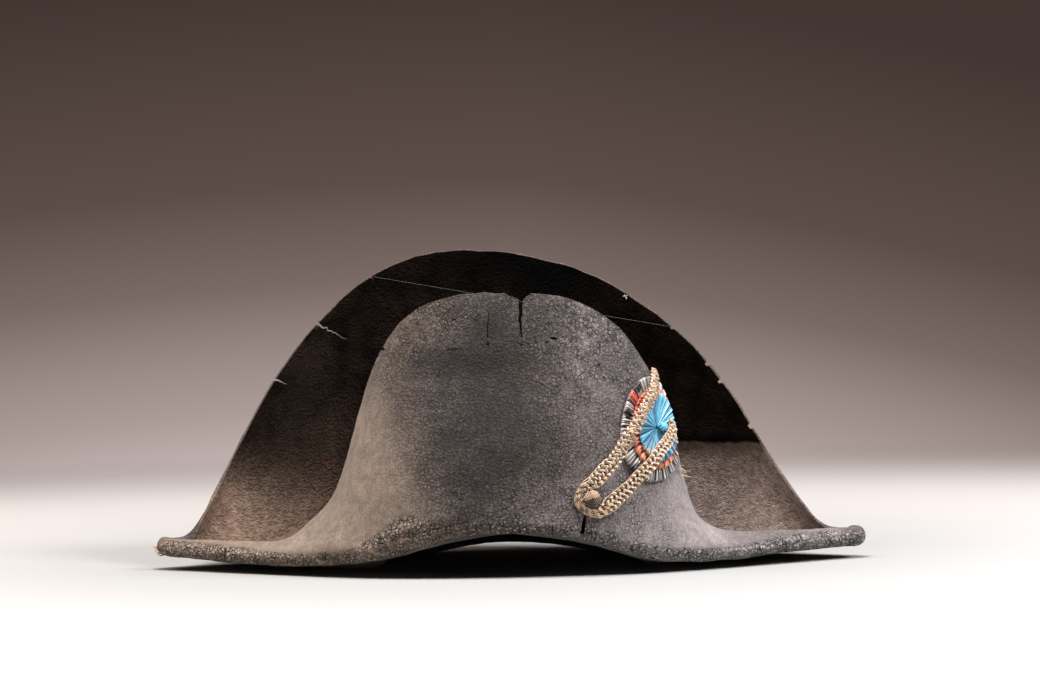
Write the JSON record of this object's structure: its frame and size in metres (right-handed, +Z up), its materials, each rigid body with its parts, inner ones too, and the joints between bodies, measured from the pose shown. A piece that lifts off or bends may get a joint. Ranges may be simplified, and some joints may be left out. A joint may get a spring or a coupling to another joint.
{
  "type": "bicorne hat",
  "caption": "Worn felt bicorne with a turned-up front and rear flap, low horns, and a pleated cockade with plaited loop and button on one flank; worn on the head or stood on a surface.",
  "frame": {"origin": "middle of the bounding box in plan, on the surface that the hat stands on", "axes": "+X from horn to horn, to the right as the front flap is seen; +Y from the front flap to the rear flap; +Z up"},
  "size_m": [0.4629, 0.2295, 0.2093],
  "materials": {
    "felt": "matt worn felt",
    "ribbon_white": "faded silk",
    "ribbon_red": "faded silk",
    "ribbon_blue": "silk",
    "ribbon_knot": "silk",
    "braid": "plaited cord",
    "button_thread": "wound thread"
  },
  "bodies": {
    "root": {"felt_body": "felt", "cockade_white": "ribbon_white", "cockade_red": "ribbon_red", "cockade_blue": "ribbon_blue", "cockade_knot": "ribbon_knot", "loop_braid": "braid", "button": "button_thread"}
  },
  "joints": []
}
